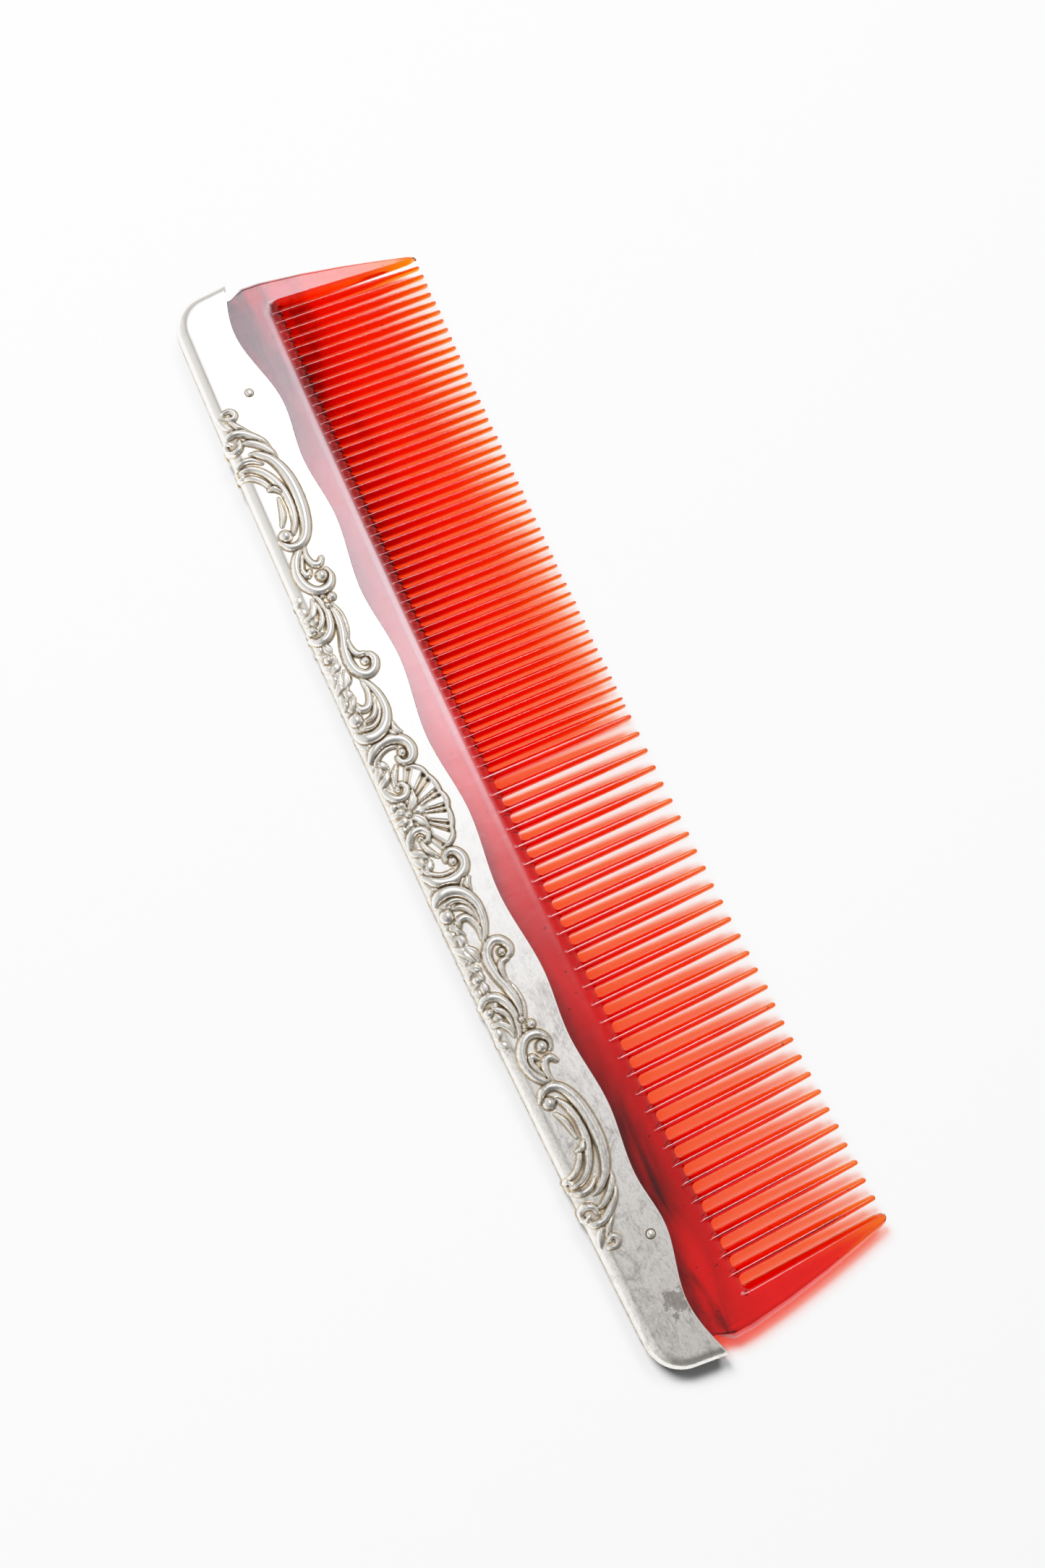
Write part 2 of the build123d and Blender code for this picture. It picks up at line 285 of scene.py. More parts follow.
def gap_head(left, right):
    """The rounded end of a gap, from the crest of its left side round to that of its right side."""
    side = head_rows[::-1]
    across = np.linspace(0, 1, 7)[1:-1]
    left_x, left_z = left.rim(side, 1)
    right_x, right_z = right.rim(side[::-1], -1)
    x0, x1, z0, z1 = left_x[-1], right_x[0], left_z[-1], right_z[0]
    outer_x = np.concatenate([left_x, lerp(x0, x1, across), right_x])
    outer_s = np.concatenate([side, 0 * across, side[::-1]])
    outer_z = np.concatenate([left_z, lerp(z0, z1, across), right_z])
    a, b = left.edge(head_length, 1), right.edge(head_length, -1)
    middle = (a + b) / 2
    corner = min(0.42 * (b - a), 0.45)  # radius, less in the narrow fine gaps

    def half(edge, toward):
        """Half of the gap's outline on the middle plane: side, then corner, then to the middle."""
        straight = np.linspace(head_length, floor_reach + corner, 5)
        turn = np.linspace(0, math.pi / 2, 8)[1:]
        xs = np.concatenate([0 * straight, corner * (1 - np.cos(turn)), [abs(middle - edge)]])
        ss = np.concatenate([straight, floor_reach + corner * (1 - np.sin(turn)), [floor_reach]])
        run = np.concatenate([[0], np.cumsum(np.hypot(np.diff(xs), np.diff(ss)))])
        turned = head_length - floor_reach - corner + corner * math.pi / 4
        n = len(across) // 2 + 1
        beside, ahead = (head_length - side) / head_length, np.arange(1, n + 1) / n
        want = np.concatenate([turned * beside, turned + (run[-1] - turned) * ahead])
        return edge + toward * np.interp(want, run, xs), np.interp(want, run, ss)

    lx, ls = half(a, 1)
    rx, rs = half(b, -1)
    inner_x = np.concatenate([lx[:-1], [middle], rx[:-1][::-1]])
    inner_s = np.concatenate([ls[:-1], [ls[-1]], rs[:-1][::-1]])
    lean = flank_rows[:, None] ** lerp(run_out_power, flank_power, smooth(outer_s / head_length))
    return place(lerp(inner_x, outer_x, lean), lerp(inner_s, outer_s, lean), outer_z * flank_rows[:, None])


def build_comb():
    made = Patches()
    sides = [fine_guard, *teeth, coarse_guard]
    heads = [gap_head(a, b) for a, b in zip(sides, sides[1:])]
    for head in heads:
        made.both_faces(head[::-1])
    plateau = []
    side_count = len(head_rows)
    for i, head in enumerate(heads):
        rim = head[-1, side_count - 1 : -side_count + 1]
        plateau.append(rim[:, [0, 2]])
        if i < len(teeth):
            tooth = teeth[i]
            c, _ = tooth.crest(np.array(0.0))
            x = tooth.x + c * crest_columns
            plateau.append(np.stack([x, np.full_like(x, tooth.half_thick(np.array(0.0)))], -1)[1:-1])
    columns = np.concatenate(plateau)
    s = np.append(band_rows, 0.0)[:, None]
    dip = (half_band - columns[None, :, 1]) * smooth((s + slope_length) / slope_length)
    top = place(columns[None, :, 0], s, half_band - dip)
    made.both_faces(top)
    # crests and flanks
    for tooth in teeth:
        rows = np.concatenate([head_rows, tooth.rows()[1:]])
        c, fall = tooth.crest(rows)
        x = tooth.centre(rows)[:, None] + c[:, None] * crest_columns
        z = tooth.half_thick(rows)[:, None] - fall[:, None] * crest_fall
        made.both_faces(place(x, rows[:, None], z))
        rows = tooth.rows()
        for side in (-1, 1):
            rim_x, rim_z = tooth.rim(rows, side)
            x = lerp(tooth.edge(rows, side)[:, None], rim_x[:, None], flank_lean)
            patch = place(x, rows[:, None], rim_z[:, None] * flank_rows)
            made.both_faces(patch if side < 0 else patch[:, ::-1])
    # guards, with the band's ends below them
    flat = np.array([0, 0.04, 0.3, 0.7, 0.96, 1])  # share of the way across a guard's flat face
    nose = (0, 0.12, 0)  # how far a guard's end stands out on the middle plane
    for guard in (fine_guard, coarse_guard):
        rows = np.concatenate([band_rows, head_rows, guard_rows])
        inner_x, h = guard.rim(rows)
        inner_x = np.where(rows < 0, guard.rim(0.0)[0], inner_x)
        rim_x, edge_x = guard.outer_rim(rows), guard.outer_edge(rows)
        across = lerp(inner_x[:, None], rim_x[:, None], flat)
        down = lerp(edge_x[:, None], rim_x[:, None], flank_lean[-2::-1])
        x = np.hstack([across, down])
        z = np.hstack([np.repeat(h[:, None], len(flat), 1), h[:, None] * flank_rows[-2::-1]])
        block = place(x, rows[:, None], z)
        block = block if guard.side > 0 else block[:, ::-1]
        made.both_faces(block)
        made.grid(np.stack([block[0] * (1, 1, -1), block[0]]))
        made.both_faces(np.stack([block[-1], block[-1] * (1, 1, 0) + nose]))
        rows = np.concatenate([[head_length], guard_rows])
        rim_x, rim_z = guard.rim(rows)
        x = lerp(guard.edge(rows)[:, None], rim_x[:, None], flank_lean)
        patch = place(x, rows[:, None], rim_z[:, None] * flank_rows)
        patch = patch if guard.side > 0 else patch[:, ::-1]
        made.both_faces(patch)
        made.both_faces(np.stack([patch[-1], patch[-1] * (1, 1, 0) + nose]))
    made.grid(np.stack([top[0] * (1, 1, -1), top[0]]))
    return made.make("comb", mid_z)


comb = build_comb()
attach(comb, "root")
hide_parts("comb_body", "fine_teeth", "coarse_teeth", "fine_end_guard", "coarse_end_guard")

# --- Ornament of the mount --------------------------------
# The relief is drawn once over the coarse half and mirrored. Every stroke is a rounded ridge that
# follows a smooth line through its points, each an x and a depth, with a half width at each point.
# A later stroke lies over the earlier ones and presses a groove round itself.
cell = 0.06  # of the relief grid
relief_x = np.arange(-2.0, 76.5, cell)
relief_depth = np.arange(-1.0, 11.0, cell)
grid_depth, grid_x = np.meshgrid(relief_depth, relief_x, indexing="ij")
relief = np.zeros_like(grid_x)
fullness = 1.2  # of the strokes beside their nominal widths
stroke_step, thinnest = 0.07, 0.08
groove = 0.35  # width of the groove round a form, as a share of its half width
buried = 0.25  # share of the older relief that is kept under a form


def through(points, values, count):
    """count samples of a smooth line through the points, with the values along it."""
    p = np.column_stack([points, values]).astype(float)
    p = np.vstack([2 * p[0] - p[1], p, 2 * p[-1] - p[-2]])
    t = np.linspace(0, len(points) - 1 - 1e-9, count)
    i = t.astype(int)
    u = (t - i)[:, None]
    a, b, c, d = p[i], p[i + 1], p[i + 2], p[i + 3]
    return 0.5 * (2 * b + (c - a) * u + (2 * a - 5 * b + 4 * c - d) * u**2 + (3 * b - a - 3 * c + d) * u**3)


def lay(x0, x1, d0, d1):
    """The part of the relief grid within these limits."""
    i = slice(*np.searchsorted(relief_depth, (d0, d1)))
    j = slice(*np.searchsorted(relief_x, (x0, x1)))
    return i, j


def stamp(window, q, height):
    """Adds a rounded form where q, the distance from its middle in half widths, is under 1."""
    old = relief[window]
    form = height * np.sqrt(np.clip(1 - q**2, 0, 1))
    outside = smooth((q - 1) / groove)
    relief[window] = np.where(q < 1, np.maximum(form, old * buried), old * outside)


def stroke(points, widths, height=None, crease=0.0):
    height = height or min(0.95, 0.34 + 0.75 * max(widths))
    length = np.hypot(*np.diff(np.array(points, float), axis=0).T).sum()
    line = through(points, widths, max(8, int(length / stroke_step)))
    line[:, 2] = np.maximum(line[:, 2] * fullness, thinnest)
    reach = max(widths) * 1.7 + 0.2
    window = lay(line[:, 0].min() - reach, line[:, 0].max() + reach,
                 line[:, 1].min() - reach, line[:, 1].max() + reach)
    gx, gd = grid_x[window], grid_depth[window]
    q = np.full(gx.shape, 9.0)
    size = np.full(gx.shape, 1.0)
    for x, d, w in line:
        near = np.hypot(gx - x, gd - d) / w
        closer = near < q
        q = np.where(closer, near, q)
        size = np.where(closer, w, size)
    tall = height * np.clip(size / (max(widths) * fullness), 0.3, 1) ** 0.55
    if crease:
        tall = tall * (1 - crease * np.exp(-((q / 0.3) ** 2)))
    stamp(window, q, tall)


def ball(x, depth, radius, height=None, long=1.0, turn=0.0):
    reach = radius * max(long, 1) * 1.5
    window = lay(x - reach, x + reach, depth - reach, depth + reach)
    dx, dd = grid_x[window] - x, grid_depth[window] - depth
    c, s = math.cos(turn), math.sin(turn)
    q = np.hypot((dx * c + dd * s) / long, -dx * s + dd * c) / radius
    stamp(window, q, height or min(1.0, 0.3 + 0.75 * radius))


def shell_fan():
    """The fluted shell at the middle of the mount. Its wide ribs stand between pairs of deep slots."""
    foot = 1.6
    angle = np.arctan2(grid_x, grid_depth - foot)
    reach = np.hypot(grid_x, grid_depth - foot)
    flute = np.abs(np.cos(angle * 7.2 + 0.3 * np.sin(angle * 3)))
    rim = 7.5 + 0.85 * smooth((np.abs(angle) - 0.3) / 0.5) + 0.35 * flute**0.7
    spread = 1.12  # angle from the middle of the shell to its sides
    inside = (reach < rim) & (np.abs(angle) < spread) & (grid_depth > foot + 1.6)
    wide, thin = smooth((flute - 0.55) / 0.3), smooth((0.32 - flute) / 0.22)
    rise = smooth((reach - 2.4) / 1.2)
    ribs = 0.3 * (1 - rise) + rise * (0.62 * wide + 0.42 * thin)
    lip = 0.85 * np.sqrt(np.clip(1 - ((reach - rim + 0.4) / 0.4) ** 2, 0, 1))
    body = np.maximum(ribs, lip) * smooth((spread - np.abs(angle)) / 0.07)
    relief[inside] = np.maximum(relief[inside], body[inside])


shell_fan()
# small leaves that fill the ground between the scrolls and the spine
for leaf_depth, first, last in ((0.5, 9.5, 40.0), (1.9, 12.5, 36.0)):
    for k, leaf_x in enumerate(np.arange(first, last, 1.7)):
        turn = 0.9 * math.sin(2.3 * k + leaf_depth)
        dx, dd = 0.95 * math.cos(turn), 0.95 * math.sin(turn)
        ends = (leaf_x - dx, leaf_depth - dd), (leaf_x + dx, leaf_depth + dd)
        stroke([ends[0], (leaf_x, leaf_depth + 0.15), ends[1]], [0.2, 0.52, 0.15], 0.5, 0.4)
# blossom and leaves below the shell
stroke([(0, 3), (0.3, 4.2), (0.1, 5.4)], [0.35, 0.5, 0.2], 0.7, 0.3)
stroke([(0.3, 2.9), (1.5, 4.1), (2.8, 4.5), (3.7, 4.4)], [0.3, 0.62, 0.45, 0.15], 0.75, 0.35)
stroke([(1, 2.5), (2, 2), (3, 0.8), (3.6, 0.2)], [0.3, 0.55, 0.45, 0.2], 0.7, 0.3)
stroke([(0.4, 2.2), (0.9, 1.2), (0.7, 0.2)], [0.35, 0.6, 0.35], 0.7, 0.3)
ball(0, 2.7, 0.62, 0.8)
ball(1.9, 0.9, 0.6, 0.6, 1.3, 0.6)
# small volute beside them
stroke([(5.3, 0.5), (3.9, 1.05), (2.9, 2.1), (2.9, 3.4), (3.9, 4.15), (4.9, 3.7), (4.8, 2.9)],
       [0.35, 0.5, 0.5, 0.48, 0.45, 0.38, 0.3])
ball(4.25, 2.75, 0.45)
stroke([(5, 2.7), (6.4, 3.1), (7.9, 4.2)], [0.25, 0.42, 0.2])
stroke([(5.7, 0.5), (6.4, 1.5), (7.4, 2.5)], [0.3, 0.6, 0.22], 0.65, 0.4)
stroke([(6.9, 0.3), (7.7, 1.1), (9, 1.6)], [0.3, 0.6, 0.25], 0.65, 0.4)
stroke([(8, 2.7), (8.8, 2.2), (9.4, 1.2)], [0.2, 0.46, 0.22], 0.6, 0.3)
# scroll beside the shell
stroke([(10.7, 5.4), (11, 4.2), (10.7, 2.9), (9.9, 1.8), (8.9, 1)], [0.2, 0.36, 0.38, 0.34, 0.2])
stroke([(9.9, 0.5), (11.4, 2), (12.1, 3.7), (12.05, 5.5), (11.2, 6.95), (9.8, 7.55), (8.5, 7.2),
        (7.75, 6.2), (8.1, 5.2), (9, 4.9)],
       [0.35, 0.62, 0.72, 0.74, 0.7, 0.66, 0.6, 0.52, 0.42, 0.3])
ball(9.5, 5.85, 0.68)
stroke([(12.7, 7.2), (13, 6.3), (13.4, 5.6)], [0.2, 0.5, 0.2], 0.6)
stroke([(12.8, 6.8), (13.6, 6.4), (14.7, 6.6)], [0.35, 0.42, 0.12], 0.6)
# flower scroll
stroke([(15.2, 2), (15.1, 3.6), (15.9, 5), (17.4, 5.7), (19.2, 5.75), (21.2, 5.3)],
       [0.3, 0.42, 0.44, 0.4, 0.34, 0.15])
stroke([(14.9, 0.3), (13.9, 1.2), (13.5, 2.8), (14, 4.5), (15.3, 5.8), (17.2, 6.5), (19.6, 6.4),
        (21.6, 5.7), (23.1, 4.9)],
       [0.35, 0.72, 0.82, 0.78, 0.68, 0.58, 0.5, 0.4, 0.18], 0.9)
stroke([(16.3, 2.9), (16.5, 4), (17.5, 4.9), (19.1, 5.2), (20.9, 5)], [0.25, 0.38, 0.38, 0.3, 0.12])
stroke([(19.2, 2.4), (18.3, 2.8), (18.2, 3.9), (19.1, 4.7), (20.8, 5.1), (22.3, 4.8)],
       [0.38, 0.48, 0.48, 0.42, 0.32, 0.12])
ball(17, 1.35, 1.12)
stroke([(18.6, 1.5), (19.6, 1.6), (20.6, 2.5)], [0.3, 0.66, 0.28], 0.75, 0.4)
stroke([(19.2, 0.2), (20.2, 0.8), (21.5, 0.8)], [0.3, 0.62, 0.25], 0.72, 0.4)
stroke([(20.6, 1.5), (21.3, 2), (22, 1.7)], [0.3, 0.5, 0.22], 0.6, 0.3)
stroke([(22.2, 0.3), (23.2, 1.5), (24.9, 2.2)], [0.4, 0.62, 0.2], 0.6, 0.4)
stroke([(22.6, 2), (23.7, 2.9), (25.2, 3.1)], [0.3, 0.55, 0.15], 0.6, 0.4)
stroke([(23.6, 0.3), (24.5, 0.9), (25.2, 0.6)], [0.35, 0.45, 0.15], 0.5, 0.3)
stroke([(28.3, 1), (28.8, 0.5), (29.4, -0.1)], [0.3, 0.28, 0.2], 0.4)
ball(27.8, 1.4, 0.7, 0.62)
ball(28.5, 1.25, 0.3, 0.5)
# volute with a long tail
stroke([(29.4, 5.6), (31.6, 6.2), (34, 6.3), (36.2, 5.8)], [0.2, 0.32, 0.34, 0.12])
stroke([(36.3, 5.1), (33.6, 5.7), (31, 5.35), (28.5, 4.6), (26, 4.3), (24.1, 4.9), (23.25, 6.2),
        (23.7, 7.5), (25, 8.25), (26.1, 7.9), (26.3, 7.2)],
       [0.2, 0.5, 0.6, 0.66, 0.68, 0.64, 0.6, 0.58, 0.5, 0.38, 0.28])
stroke([(26.6, 7.1), (26.8, 6.1), (28, 5.5), (29.8, 5.6)], [0.32, 0.42, 0.4, 0.15])
ball(25.35, 6.75, 0.68)
# leaf that rises from the spine
stroke([(35.1, 0.9), (35.4, 2.1), (36.5, 2.9), (37.9, 3.1)], [0.35, 0.42, 0.36, 0.12], None, 0.3)
stroke([(32.8, 2), (33.7, 3), (35.2, 3.6), (37.3, 3.4)], [0.32, 0.42, 0.36, 0.12])
stroke([(32, 0), (31, 1.2), (31.2, 2.8), (32.6, 4), (34.8, 4.5), (37.2, 4.2), (38.7, 3.6)],
       [0.35, 0.55, 0.6, 0.58, 0.48, 0.36, 0.15])
ball(33.1, 0.95, 0.8)
ball(37.2, 6.2, 0.74)
ball(36, 5.1, 0.52)
ball(37.8, 4.9, 0.38)
# scroll with a ball
stroke([(47, 5.6), (46, 4.4), (44.5, 3.3), (42.5, 2.75), (40.6, 3), (39.2, 4), (38.7, 5.3), (39.1, 6.7),
        (40.4, 7.5), (41.8, 7.3)],
       [0.2, 0.46, 0.58, 0.64, 0.64, 0.62, 0.6, 0.58, 0.48, 0.3])
stroke([(43.8, 7.4), (42.95, 6.6), (43.4, 5.6), (45, 5.2), (46.7, 5.7)], [0.3, 0.45, 0.45, 0.36, 0.12])
stroke([(42.4, 4.8), (41.8, 4.1), (42.7, 3.7), (44.2, 4.2), (45.4, 4.8)], [0.3, 0.42, 0.4, 0.3, 0.12])
ball(41, 6.2, 0.98)
# long feathered scroll
stroke([(51, 3.8), (52.8, 4.7), (55.6, 5.2)], [0.2, 0.38, 0.15])
stroke([(57.2, 4.9), (59, 4), (60.3, 2.6), (60.7, 1.2)], [0.25, 0.36, 0.34, 0.2])
stroke([(62, 5.2), (63.1, 3.8), (63.3, 2.3), (62.8, 0.8)], [0.15, 0.38, 0.4, 0.25])
stroke([(49.2, 4.9), (50.8, 5.9), (53.2, 6.5), (56, 6.5), (58.6, 5.8), (60.6, 4.6), (61.8, 3), (62, 1.3)],
       [0.25, 0.42, 0.5, 0.55, 0.52, 0.48, 0.42, 0.25])
stroke([(56.4, 5.9), (57.3, 5.2), (57.4, 4.3)], [0.2, 0.42, 0.2], 0.8)
stroke([(66.2, 6.6), (68, 4.9), (69.6, 3.7), (70.8, 3.2)], [0.15, 0.4, 0.38, 0.25])
stroke([(63.4, 7.6), (65.5, 6.7), (67.2, 5.2), (68.2, 3.6), (68.2, 2), (67.4, 0.9)],
       [0.15, 0.46, 0.52, 0.52, 0.46, 0.25])
stroke([(61.4, 7.7), (63.5, 7.2), (65.2, 5.9), (66.1, 4.5), (66.3, 3.4)], [0.15, 0.46, 0.48, 0.42, 0.12])
stroke([(48.5, 2.5), (47.3, 3.4), (47.05, 4.9), (47.9, 6.3), (49.8, 7.35), (52.4, 8), (55.2, 8.25),
        (58, 8.15), (60.4, 7.6), (62.4, 6.6), (63.8, 5), (64.2, 3.9)],
       [0.35, 0.5, 0.58, 0.62, 0.7, 0.76, 0.78, 0.76, 0.7, 0.58, 0.44, 0.12], 0.92)
ball(49.2, 3.6, 1.02)
# volutes and bud at the end of the ornament
stroke([(66.9, 3.3), (65.8, 2.9), (65.35, 1.8), (65.9, 0.8), (66.9, 0.6), (67.4, 1.2), (66.9, 1.7)],
       [0.3, 0.44, 0.46, 0.42, 0.36, 0.32, 0.25])
stroke([(62.5, 0.3), (61.3, 0.2), (60.9, 1), (61.6, 1.5)], [0.25, 0.36, 0.34, 0.25])
stroke([(69.3, 2.7), (70.5, 1.9), (71.8, 1.3)], [0.25, 0.46, 0.15], 0.5)
stroke([(72.2, 2.6), (72.3, 3.8), (71.5, 4.4), (70.8, 3.8), (71.2, 3.1)], [0.2, 0.34, 0.38, 0.36, 0.3])


def blurred(field, reach):
    """Mean of the field over a square of that half side, in cells."""
    for axis in (0, 1):
        pad = [(0, 0), (0, 0)]
        pad[axis] = (reach + 1, reach)
        total = np.cumsum(np.pad(field, pad, mode="edge"), axis)
        span = field.shape[axis]
        upper = np.take(total, np.arange(2 * reach + 1, 2 * reach + 1 + span), axis)
        field = (upper - np.take(total, np.arange(span), axis)) / (2 * reach + 1)
    return field


relief = np.minimum(blurred(relief, 1), 1.0)
around = blurred(blurred(relief, 5), 4)
near_forms, deepest = 0.05, 0.42
ground = near_forms * np.clip(around / near_forms, 0, 1)
shade_and_tarnish = np.clip((around - relief + ground) / deepest, 0, 1)  # how deep a place lies among the forms, which sets the tarnish and painted shade there


def sampled(field, x, depth):
    """The mirrored field at these places, between its cells."""
    i = np.clip((depth - relief_depth[0]) / cell, 0, field.shape[0] - 1.001)
    j = np.clip((np.abs(x) - relief_x[0]) / cell, 0, field.shape[1] - 1.001)
    i0, j0 = i.astype(int), j.astype(int)
    u, v = i - i0, j - j0
    return (
        field[i0, j0] * (1 - u) * (1 - v)
        + field[i0 + 1, j0] * u * (1 - v)
        + field[i0, j0 + 1] * (1 - u) * v
        + field[i0 + 1, j0 + 1] * u * v
    )


# --- Silver mount -----------------------------------------
end_lean, corner_radius, roll_radius = 1.5, 6.5, 2.1
seam_gap, clearance = 0.1, 0.03  # of a shell from the middle plane and from the band
# crests and hollows of the scalloped edge, an x and a depth each
scallop_x, scallop_depth = np.array([
    (-94.4, 12.6), (-84.3, 10.1), (-71.4, 12.65), (-60.9, 11.65), (-50, 12.5), (-36.5, 11.05), (-24, 12.1),
    (-10.5, 10.6), (3, 11.7), (17, 10.45), (31, 11.65), (41, 10.9), (53.5, 11.95), (65, 11.05),
    (73, 11.95), (83.5, 10), (94.4, 12.6),
]).T


def cubic_through(x, y):
    """Second derivatives of the smooth curve y(x) through the points, free at its ends."""
    h = np.diff(x)
    a = np.zeros((len(x), len(x)))
    b = np.zeros(len(x))
    a[0, 0] = a[-1, -1] = 1
    for i in range(1, len(x) - 1):
        a[i, i - 1 : i + 2] = h[i - 1], 2 * (h[i - 1] + h[i]), h[i]
        b[i] = 6 * ((y[i + 1] - y[i]) / h[i] - (y[i] - y[i - 1]) / h[i - 1])
    return np.linalg.solve(a, b)


scallop_bend = cubic_through(scallop_x, scallop_depth)


def scallop(x):
    """y of the scalloped edge at x."""
    x = np.clip(x, scallop_x[0], scallop_x[-1])
    i = np.clip(np.searchsorted(scallop_x, x) - 1, 0, len(scallop_x) - 2)
    h = scallop_x[i + 1] - scallop_x[i]
    a, b = (scallop_x[i + 1] - x) / h, (x - scallop_x[i]) / h
    d = a * scallop_depth[i] + b * scallop_depth[i + 1]
    d = d + ((a**3 - a) * scallop_bend[i] + (b**3 - b) * scallop_bend[i + 1]) * h**2 / 6
    return spine_y + d


corner_x = half_length - end_lean
ornament_reach, ornament_step, plain_step = 74.0, 0.16, 0.55
ornament_x = np.arange(-ornament_reach, ornament_reach + 0.01, ornament_step)
plain_x = np.arange(ornament_reach + 0.5, 86.0, plain_step)
spine_x = np.concatenate([-plain_x[::-1], ornament_x, plain_x])
side_share = np.linspace(0, 1, 10)[:, None]
turn_share = np.linspace(0, 1, 15)[1:, None]


def mount_edge(inset):
    """The mount's outline moved inwards by inset, with outward directions. It starts and ends where
    the scalloped edge cuts it off."""
    start = np.array([-half_length, spine_y + scallop_depth[0]])
    corner = np.array([-corner_x, spine_y + bowed(corner_x)])
    foot_x = corner_radius - corner_x
    foot = np.array([foot_x, spine_y + bowed(foot_x)])
    down, along = corner - start, foot - corner
    down, along = down / np.hypot(*down), along / np.hypot(*along)
    inward, above = np.array([-down[1], down[0]]), np.array([-along[1], along[0]])
    k = np.linalg.solve(np.stack([down, -along], 1), corner_radius * (above - inward))
    centre = corner + down * k[0] + inward * corner_radius
    top = start + inward * inset
    for _ in range(8):
        top = top + down * (scallop(top[0]) - top[1]) / down[1]
    side = lerp(top, centre - inward * (corner_radius - inset), side_share)
    turn = lerp(math.atan2(-inward[1], -inward[0]), math.atan2(-above[1], -above[0]), turn_share)
    radial = np.concatenate([np.cos(turn), np.sin(turn)], 1)
    left = np.concatenate([side, centre + (corner_radius - inset) * radial])
    left_out = np.concatenate([np.repeat(-inward[None, :], len(side), 0), radial])
    spine_out = np.stack([2 * bow * spine_x / half_length**2, -np.ones_like(spine_x)], 1)
    spine_out /= np.hypot(*spine_out.T)[:, None]
    spine = np.stack([spine_x, spine_y + bowed(spine_x)], 1) - inset * spine_out
    mirror = (-1, 1)
    outline = np.concatenate([left, spine, left[::-1] * mirror])
    return outline, np.concatenate([left_out, spine_out, left_out[::-1] * mirror])


def shell_surface():
    """Rows of points round one shell, from the seam over the roll to the scalloped edge and back inside to
    the seam, with the tarnish and painted shade at each, from the depth among the forms and the painted
    shade towards the seam, and the painted highlight along the scalloped edge."""
    rows, shade_and_tarnish_rows, edges = [], [], []
    seam_shade, roll_shade, shaded_degrees = 0.6, 0.55, 28  # painted shade, dark towards the seam and fading out up to there on the roll
    face_rows, last_share = 58, 0.992  # rows over the face, the last of them just short of the edge

    def row(xy, z, normal=None, share=0.0, painted_shade=0.0, edge_highlight=0.0):
        p = np.column_stack([xy, np.broadcast_to(z, len(xy))])
        low = 0.0
        if normal is not None:
            inset = xy[:, 1] - spine_y - bowed(xy[:, 0])
            depth = xy[:, 1] - spine_y - 0.35 * (1 - smooth(inset / 1.5))  # the ornament runs over the roll
            p = p + normal * (relief_height * share * sampled(relief, xy[:, 0], depth))[:, None]
            low = sampled(shade_and_tarnish, xy[:, 0], depth) * share
        rows.append(p)
        shade_and_tarnish_rows.append(np.broadcast_to(np.maximum(low, painted_shade), len(xy)))
        edges.append(np.full(len(xy), edge_highlight))

    def roll(angle, radius):
        xy, outward = mount_edge(roll_radius - radius * math.cos(angle))
        normal = np.column_stack([outward * math.cos(angle), np.full(len(xy), math.sin(angle))])
        return xy, half_mount - roll_radius + radius * math.sin(angle), normal

    xy, _ = mount_edge(0.0)
    # painted shade along the seam and over the outer part of the roll
    row(xy, seam_gap, painted_shade=seam_shade)
    for degrees, share in ((0, 0.3), (10, 0.6), (20, 0.85), *((d, 1.0) for d in range(30, 91, 6))):
        tone = roll_shade * (1 - smooth(degrees / shaded_degrees))
        row(*roll(math.radians(degrees), roll_radius), share, tone)
    inner, _ = mount_edge(roll_radius)
    left = len(side_share) + len(turn_share)
    edge_x = inner[:, 0].copy()
    edge_x[:left] = lerp(inner[0, 0], spine_x[0], np.linspace(0, 1, left + 1)[:-1])
    edge_x[-left:] = -edge_x[:left][::-1]
    edge = np.column_stack([edge_x, scallop(edge_x)])
    up = np.array([[0.0, 0.0, 1.0]])
    # the last rows before the scalloped edge carry a painted highlight
    for share in [*np.linspace(0, 1, face_rows)[1:-1], last_share]:
        row(lerp(inner, edge, share), half_mount, up, 1.0, edge_highlight=float(share > 0.98))
    row(edge, half_mount - 0.05, edge_highlight=1.0)
    row(edge, half_band + clearance)
    for share in (0.6, 0.0):
        row(lerp(inner, edge, share), half_band + clearance)
    for degrees in (70, 45, 20, 0):
        xy, z, _ = roll(math.radians(degrees), roll_radius - sheet)
        row(xy, z)
    xy, _ = mount_edge(sheet)
    row(xy, seam_gap)
    return np.array(rows), np.array(shade_and_tarnish_rows), np.array(edges)


def build_shell(name, side):
    """side is 1 for the front shell and -1 for the back one."""
    rows, shade_and_tarnish_rows, edges = shell_surface()
    rows = rows * (1, 1, side)
    made = Patches()
    closed = np.concatenate([rows, rows[:1]])
    made.grid(closed, flip=side < 0)
    made.cap(closed[:-1, 0], flip=side < 0)
    made.cap(closed[:-1, -1], flip=side > 0)
    caps = np.zeros(2 * len(rows))
    return made.make(name, mid_z, {
        "shade_and_tarnish": [shade_and_tarnish_rows.ravel(), shade_and_tarnish_rows[0], caps],
        "edge_highlight": [edges.ravel(), edges[0], caps],
    })


front = build_shell("front_shell_stamped", 1)
back = build_shell("back_shell_stamped", -1)
for shell, node in ((front, "front_shell"), (back, "back_shell")):
    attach(shell, "root")
    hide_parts(node)


